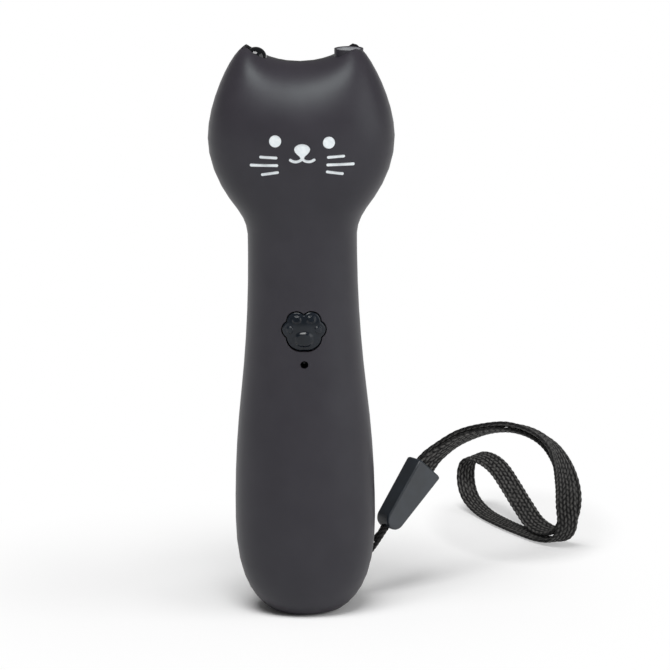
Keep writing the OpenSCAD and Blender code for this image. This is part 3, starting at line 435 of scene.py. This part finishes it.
# Materials
def add(tree, kind, settings=None, links=None):
    """Adds one node: settings name its properties or input sockets, links name sockets and their sources."""
    made = tree.nodes.new(kind)
    for key, value in (settings or {}).items():
        if isinstance(key, str) and hasattr(made, key):
            setattr(made, key, value)
        else:
            made.inputs[key].default_value = value
    for key, source in (links or {}).items():
        tree.links.new(source, made.inputs[key])
    return made


def new_material(name):
    """An empty material and its node tree."""
    made = bpy.data.materials.new(name)
    made.use_nodes = True
    made.node_tree.nodes.clear()
    return made, made.node_tree


def two_tone(tree, source, dark, light, low=0.3, high=0.7):
    """Mixes two colours by a value, between a low and a high mark of it."""
    ramp = add(tree, "ShaderNodeValToRGB", links={"Fac": source})
    for stop, at, code in zip(ramp.color_ramp.elements, (low, high), (dark, light)):
        stop.position, stop.color = at, linear(code)
    return ramp.outputs["Color"]


def grained(name, dark, light, patch, grain, deep, rough, swing=0.06, stretch=(1, 1, 1), **shader):
    """A solid material on Object coordinates. Soft patches of a size in mm mix its two colours and swing its
    roughness, and a finer grain of a size and depth in mm lifts its surface; stretch draws both out."""
    made, tree = new_material(name)
    where = add(tree, "ShaderNodeTexCoord").outputs["Object"]
    where = add(tree, "ShaderNodeMapping", {"Scale": stretch}, {"Vector": where}).outputs["Vector"]
    patches = add(tree, "ShaderNodeTexNoise", {"Scale": 1 / (patch * MM), "Detail": 3}, {"Vector": where})
    patches = patches.outputs["Fac"]
    grains = add(tree, "ShaderNodeTexNoise", {"Scale": 1 / (grain * MM), "Detail": 2}, {"Vector": where})
    shine = add(tree, "ShaderNodeMapRange", {"To Min": rough - swing, "To Max": rough + swing},
                {"Value": patches})
    lift = add(tree, "ShaderNodeBump", {"Strength": 1, "Distance": deep * MM},
               {"Height": grains.outputs["Fac"]})
    body = add(tree, "ShaderNodeBsdfPrincipled", shader, {
        "Base Color": two_tone(tree, patches, dark, light), "Roughness": shine.outputs["Result"],
        "Normal": lift.outputs["Normal"]})
    add(tree, "ShaderNodeOutputMaterial", links={"Surface": body.outputs["BSDF"]})
    return made


def nylon_braid(name, painted_groove_shade, painted_crown_glint, sheen):
    """Spun nylon yarn: painted shade between the stitches and a painted glint on their crowns, with fine
    fibres across them, fluff about 0.5 mm wide, and uneven streaks along it, about 0.4 mm wide and 3 mm long."""
    made, tree = new_material(name)
    rise = add(tree, "ShaderNodeAttribute", {"attribute_name": "rise"}).outputs["Fac"]
    thread = add(tree, "ShaderNodeAttribute", {"attribute_name": "thread"}).outputs["Fac"]
    lane = add(tree, "ShaderNodeAttribute", {"attribute_name": "lane"}).outputs["Fac"]
    where = add(tree, "ShaderNodeTexCoord").outputs["Object"]
    # Fibres are drawn about 0.2 mm apart, coarser than real ones, so that they show.
    turned = add(tree, "ShaderNodeMath", {"operation": "MULTIPLY", 1: 44.0}, {0: thread}).outputs["Value"]
    fibres = add(tree, "ShaderNodeMath", {"operation": "SINE"}, {0: turned}).outputs["Value"]
    lift = add(tree, "ShaderNodeBump", {"Strength": 0.6, "Distance": 0.05 * MM}, {"Height": fibres})
    fluff = add(tree, "ShaderNodeTexNoise", {"Scale": 1 / (0.5 * MM), "Detail": 4}, {"Vector": where})
    run = add(tree, "ShaderNodeCombineXYZ", links={"X": lane, "Y": thread}).outputs["Vector"]
    run = add(tree, "ShaderNodeMapping", {"Scale": (2.5, 0.6, 1)}, {"Vector": run}).outputs["Vector"]
    streak = add(tree, "ShaderNodeTexNoise", {"Scale": 1.0, "Detail": 2}, {"Vector": run})
    # Fluff and streaks are each about 0.5 at their middle, so that this is zero on the average.
    worn = add(tree, "ShaderNodeMath", {"operation": "ADD"},
               {0: fluff.outputs["Fac"], 1: streak.outputs["Fac"]})
    worn = add(tree, "ShaderNodeMath", {"operation": "MULTIPLY_ADD", 1: 1.1, 2: -1.1},
               {0: worn.outputs["Value"]})
    # Painted glint and painted shade from the crowns, plus the fluff and streaks of wear.
    tone = add(tree, "ShaderNodeMath", {"operation": "ADD"}, {0: rise, 1: worn.outputs["Value"]})
    shine = add(tree, "ShaderNodeMapRange", {"To Min": 0.75, "To Max": 0.55}, {"Value": rise})
    yarn = {"Sheen Weight": sheen, "Sheen Roughness": 0.4, "Specular IOR Level": 0.2}
    body = add(tree, "ShaderNodeBsdfPrincipled", yarn, {
        "Base Color": two_tone(tree, tone.outputs["Value"], painted_groove_shade, painted_crown_glint, 0.1, 1),
        "Roughness": shine.outputs["Result"], "Normal": lift.outputs["Normal"]})
    add(tree, "ShaderNodeOutputMaterial", links={"Surface": body.outputs["BSDF"]})
    return made


# Soft-touch paint on ABS: an even, velvety black with broad dull highlights and a very fine grain.
soft_touch = grained("soft_touch_paint_on_abs", "#302d33", "#353238", 9, 0.35, 0.005, 0.45, 0.02,
                     **{"Specular IOR Level": 0.28, "Specular Tint": linear("#f4ffff")})
# The rear half has the same paint, painted a shade darker for the shade on its parts that show past the front
# half, such as the ear tips.
soft_touch_rear_painted_shade = grained("soft_touch_paint_rear_painted_shade", "#1a1a1c", "#1f1f21", 9, 0.35, 0.005, 0.42, 0.02,
                          **{"Specular IOR Level": 0.3})
# Polished ABS: nearly black, with sharp lights along every rounded edge.
gloss_abs = grained("polished_black_abs", "#151a20", "#1d2229", 5, 1.2, 0.003, 0.15, 0.03,
                    **{"Specular IOR Level": 0.28})
# Pad-printed enamel: cool white, faintly mottled where the pad lifted.
enamel = grained("pad_printed_enamel", "#dfe7eb", "#eef3f5", 0.7, 0.4, 0.015, 0.42)
# Satin ABS of the strap clip: dark blue-grey, fine spark-eroded grain.
satin_abs = grained("satin_abs_clip", "#1d2329", "#252c34", 3, 0.25, 0.006, 0.42, 0.04,
                    **{"Specular IOR Level": 0.7})
# Smoked acrylic dome: black with clear window-like lights.
smoked = grained("smoked_acrylic", "#0b0c0e", "#121316", 2, 1, 0.001, 0.05, 0.02,
                 **{"Specular IOR Level": 0.4})
# Bezel of moulded ABS and its grey coated window, both dull enough to look pale from a low angle.
bezel = grained("bezel_abs", "#7c7d81", "#8a8b8f", 2, 0.3, 0.005, 0.4)
window = grained("coated_window_glass", "#8b8d90", "#a0a2a5", 1.5, 0.6, 0.001, 0.2, 0.04, IOR=1.52)
# Nylon yarn, braided into the tape and twisted, darker, into the tie cord: dull, with a painted glint on the
# crowns and painted shade between them.
braid = nylon_braid("braided_nylon_tape", "#080809", "#5c5b59", 0.04)
twisted = nylon_braid("twisted_nylon_cord", "#0a0a0b", "#302f30", 0.06)
metal = {"Metallic": 1.0}
inside = {
    # Zinc-plated steel: bright with a faint blue-grey cast and drawn scratches.
    "case_screws": grained("zinc_plated_steel", "#83878c", "#a4a8ac", 0.8, 0.15, 0.006, 0.3,
                           stretch=(1, 0.2, 1), **metal),
    # Glass-filled nylon of the switch: dull black with a pale fleck.
    "switch_body": grained("glass_filled_nylon", "#1f2123", "#2d2f31", 0.6, 0.2, 0.01, 0.55),
    # Acetal plunger: waxy cream.
    "switch_plunger": grained("acetal", "#bdb9ac", "#d2cec3", 1.5, 0.4, 0.004, 0.35),
    # Solder mask over copper: deep green, paler where tracks run beneath.
    "main_board": grained("solder_mask", "#17532d", "#2a7d48", 1.6, 0.3, 0.01, 0.32, stretch=(1, 1, 0.35)),
    # Moulding compound of the chips: charcoal with a fine sandy grain.
    "control_chip": grained("moulding_compound", "#1a1b1e", "#292a2d", 0.7, 0.12, 0.01, 0.6),
    # Ceramic bodies of the small parts: tan with darker specks.
    "board_parts": grained("fired_ceramic", "#94805c", "#bda981", 0.4, 0.1, 0.008, 0.45),
    # Smoked epoxy of the indicator: black while it is off, with a trace of green.
    "indicator_led": grained("smoked_epoxy", "#070908", "#0d110e", 1.2, 0.8, 0.001, 0.2,
                             **{"Specular IOR Level": 0.2}),
    # Stamped and plated steel shell of the socket.
    "charge_socket": grained("plated_steel_shell", "#a3a6aa", "#c6c9cc", 0.9, 0.2, 0.005, 0.28,
                             stretch=(1, 0.15, 1), **metal),
    # Shrink sleeve on the cell: smooth blue film with slow ripples.
    "battery_cell": grained("shrink_sleeve", "#34619a", "#4a7bb5", 4, 2, 0.02, 0.25, **{"Coat Weight": 0.2}),
    # Nickel strip: warm grey and faintly brushed.
    "battery_tabs": grained("nickel_strip", "#a3a198", "#c2c0b7", 0.7, 0.15, 0.006, 0.32,
                            stretch=(0.15, 1, 1), **metal),
    # Closed-cell foam: grey with open pores.
    "battery_pad": grained("closed_cell_foam", "#3c3c3c", "#585858", 0.5, 0.3, 0.06, 0.85),
    # Soft lead insulation.
    "battery_leads": grained("red_lead_insulation", "#8a231c", "#ad3329", 1.2, 0.3, 0.008, 0.42),
    "charge_leads": grained("yellow_lead_insulation", "#b8921f", "#d4ae35", 1.2, 0.3, 0.008, 0.42),
    # Turned brass: rings of tool marks round the barrel.
    "laser_barrel": grained("turned_brass", "#a58434", "#c7a54a", 0.8, 0.2, 0.01, 0.28,
                            stretch=(0.1, 0.1, 1), **metal),
    # Polished lens glass: clear with a faint coating.
    "laser_lens": grained("coated_lens_glass", "#c3dbe4", "#dcecf1", 1, 0.8, 0.001, 0.04, 0.02,
                          **{"Transmission Weight": 0.9, "IOR": 1.52}),
    # Gold-flashed can of the diode.
    "laser_diode": grained("gold_flashed_can", "#bdb294", "#d6ccb0", 0.6, 0.2, 0.004, 0.26, **metal),
}
same = {"charge_board": "main_board", "laser_board": "main_board", "lamp_board": "main_board",
        "charger_chip": "control_chip", "socket_tongue": "control_chip", "laser_nut": "laser_barrel",
        "laser_leads": "battery_leads", "lamp_leads": "battery_leads"}
finishes = {**inside, **{a: inside[b] for a, b in same.items()}, "face_enamel": enamel, "lamp_led": smoked,
            "laser_cap": bezel, "laser_window": window}
for name, made in finishes.items():
    for place in nodes[name].material_slots:
        place.material = made
for piece, made, slot in ((front_case, soft_touch, "case_black"), (rear_case, soft_touch_rear_painted_shade, "case_rear"),
                          (paw, gloss_abs, "button_black"), (clip, satin_abs, "clip_black"),
                          (tape, braid, "tape_black"), (cord, twisted, "cord_black")):
    piece.data.materials.append(made)

# Stage: a pale floor with a painted white glow that grows away from the object's foot and the strap's loop,
# so that it lightens the shadows further out and leaves those close to them darker, in a room whose walls are
# pale at eye level and dim above, lit by softboxes.
eased = {"interpolation_type": "SMOOTHSTEP"}
paper, tree = new_material("paper_sweep_with_painted_glow")
path = add(tree, "ShaderNodeLightPath").outputs
seen = add(tree, "ShaderNodeMath", {"operation": "MAXIMUM"},
           {0: path["Is Camera Ray"], 1: path["Is Glossy Ray"]}).outputs["Value"]
seen = add(tree, "ShaderNodeMath", {"operation": "MAXIMUM"},
           {0: seen, 1: path["Is Transmission Ray"]}).outputs["Value"]
where = add(tree, "ShaderNodeTexCoord").outputs["Object"]
# The painted glow grows with the distance from a point just left of and behind the foot, in two steps, so
# that shadows on the left stay darker than those on the right.
foot = add(tree, "ShaderNodeVectorMath", {"operation": "DISTANCE", 1: FOOT_SHADE},
           {0: where}).outputs["Value"]
near = add(tree, "ShaderNodeMapRange", {**eased, "From Min": 0.012, "From Max": 0.034,
                                        "To Min": 0, "To Max": 0.3}, {"Value": foot})
far = add(tree, "ShaderNodeMapRange", {**eased, "From Min": 0.035, "From Max": 0.1,
                                       "To Min": 0, "To Max": 0.7}, {"Value": foot})
share = add(tree, "ShaderNodeMath", {"operation": "ADD"},
            {0: near.outputs["Result"], 1: far.outputs["Result"]})
# The painted glow is weaker again under the loop, in an oval, so that the loop's shadow shows.
oval = add(tree, "ShaderNodeVectorMath", {"operation": "MULTIPLY", 1: (SHADE_NARROW, 1, 1)}, {0: where})
middle = (LOOP_SHADE[0] * SHADE_NARROW, *LOOP_SHADE[1:])
loop = add(tree, "ShaderNodeVectorMath", {"operation": "DISTANCE", 1: middle}, {0: oval.outputs["Vector"]})
loop = add(tree, "ShaderNodeMapRange", {**eased, "From Min": 0.028, "From Max": 0.045,
                                        "To Min": 0.4, "To Max": 1}, {"Value": loop.outputs["Value"]})
share = add(tree, "ShaderNodeMath", {"operation": "MINIMUM"},
            {0: share.outputs["Value"], 1: loop.outputs["Result"]})
part = add(tree, "ShaderNodeMath", {"operation": "MULTIPLY"}, {0: seen, 1: share.outputs["Value"]})
tone = two_tone(tree, seen, "#ececec", "#f8f8f8", 0, 1)
dull = add(tree, "ShaderNodeBsdfDiffuse", links={"Color": tone})
# The glow paints the floor white and lightens the shadows on it.
glow = add(tree, "ShaderNodeEmission", {"Color": (1, 1, 1, 1), "Strength": 1})
both = add(tree, "ShaderNodeMixShader", links={"Fac": part.outputs["Value"]})
tree.links.new(dull.outputs["BSDF"], both.inputs[1])
tree.links.new(glow.outputs["Emission"], both.inputs[2])
add(tree, "ShaderNodeOutputMaterial", links={"Surface": both.outputs["Shader"]})
sheet = bpy.data.meshes.new("paper_sweep")
corners = [(-1, -1), (1, -1), (1, 1), (-1, 1)]
sheet.from_pydata([(FLOOR_HALF * x, FLOOR_HALF * y, -FLOOR_GAP) for x, y in corners], [], [(0, 1, 2, 3)])
sheet.materials.append(paper)
floor = bpy.data.objects.new("paper_sweep", sheet)
bpy.context.scene.collection.objects.link(floor)

world = bpy.data.worlds.new("white_studio")
bpy.context.scene.world = world
world.use_nodes = True
tree = world.node_tree
tree.nodes.clear()
way = add(tree, "ShaderNodeTexCoord").outputs["Generated"]
height = add(tree, "ShaderNodeSeparateXYZ", links={"Vector": way}).outputs["Z"]
walls = add(tree, "ShaderNodeMapRange", {**eased, "From Min": -0.02, "From Max": 0.16,
                                         "To Min": 0.8, "To Max": 0.14}, {"Value": height})
room = add(tree, "ShaderNodeBackground", {"Color": (1, 1, 1, 1)}, {"Strength": walls.outputs["Result"]})
add(tree, "ShaderNodeOutputWorld", links={"Surface": room.outputs["Background"]})


def softbox(name, at, aim, width, height, power):
    """A rectangular lamp at a place in metres, turned to a point."""
    lamp = bpy.data.lights.new(name, "AREA")
    lamp.shape, lamp.size, lamp.size_y, lamp.energy = "RECTANGLE", width, height, power
    made = bpy.data.objects.new(name, lamp)
    turn = (Vector(aim) - Vector(at)).to_track_quat("-Z", "Y")
    made.matrix_world = Matrix.Translation(at) @ turn.to_matrix().to_4x4()
    bpy.context.scene.collection.objects.link(made)


softbox("high_front", (-0.12, -0.36, 0.97), (0, 0, 0.06), 0.6, 0.4, 9.3)
softbox("low_right", (1.0, -0.5, 0.5), (0, 0, 0.06), 0.9, 0.9, 5.5)

bpy.context.scene.view_settings.view_transform = "Standard"
